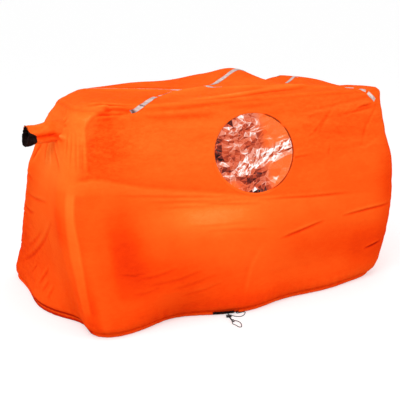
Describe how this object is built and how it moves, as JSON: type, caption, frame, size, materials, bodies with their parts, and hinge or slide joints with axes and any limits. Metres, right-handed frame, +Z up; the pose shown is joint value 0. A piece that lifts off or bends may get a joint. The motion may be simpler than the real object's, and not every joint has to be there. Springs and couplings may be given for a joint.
{
  "type": "bothy bag",
  "caption": "Open-bottomed emergency group shelter of thin orange cloth, with a clear round window, a breather sleeve and a hem drawcord with a sprung cord lock.",
  "frame": {"origin": "centre of the bounding box at ground level, measured without the free cord and its lock", "axes": "+X along the bag's length towards the end without the breather sleeve, -Y towards the front wall with the window, +Z up"},
  "size_m": [1.7651, 1.2118, 0.9579],
  "materials": {
    "shelter_cloth": "thin coated nylon, slightly glossy and translucent",
    "black_cloth": "black woven nylon, matte",
    "clear_film": "clear flexible film, glossy and crumpled",
    "seam_tape": "taped seam, matte",
    "reflective_tape": "silver-grey retroreflective tape",
    "seat_cloth": "heavier black coated nylon, matte",
    "cord": "black braided cord",
    "lock_plastic": "black moulded plastic",
    "spring_steel": "spring steel wire"
  },
  "bodies": {
    "bag": {"front_wall": "shelter_cloth", "back_wall": "shelter_cloth", "left_end_wall": "shelter_cloth", "right_end_wall": "shelter_cloth", "roof_panel": "shelter_cloth", "hem_channel": "shelter_cloth", "hem_exit_webbing": "black_cloth", "window_pane": "clear_film", "seam_tape_front_right": "seam_tape", "seam_tape_back_right": "seam_tape", "seam_tape_back_left": "seam_tape", "seam_tape_front_left": "seam_tape", "roof_seam_tape": "seam_tape", "reflective_tape_a": "reflective_tape", "reflective_tape_b_left": "reflective_tape", "reflective_tape_b_right": "reflective_tape", "seat_panel_front": "seat_cloth", "seat_panel_back": "seat_cloth", "drawcord_in_hem": "cord", "drawcord_left_strand": "cord", "drawcord_right_strand": "cord", "drawcord_tail_loop": "cord", "drawcord_knot": "cord"},
    "vent": {"vent_sleeve": "shelter_cloth", "vent_cuff": "black_cloth"},
    "cord_lock": {"cord_lock_barrel": "lock_plastic", "cord_lock_spring": "spring_steel"},
    "lock_plunger": {"cord_lock_plunger": "lock_plastic"}
  },
  "joints": [
    {"name": "vent_droop", "type": "hinge", "parent": "bag", "child": "vent", "pos_m": [-0.74003, -0.163, 0.74476], "axis": [0, -1, 0], "range_deg": [0, 45]},
    {"name": "lock_slide", "type": "slide", "parent": "bag", "child": "cord_lock", "axis": [-0.3007, -0.9537, 0], "range_m": [0, 0.03]},
    {"name": "plunger_press", "type": "slide", "parent": "cord_lock", "child": "lock_plunger", "axis": [-0.9537, 0.3007, 0], "range_m": [0, 0.0025], "stiffness_N_per_m": 800, "deforming": ["cord_lock_spring"]}
  ]
}
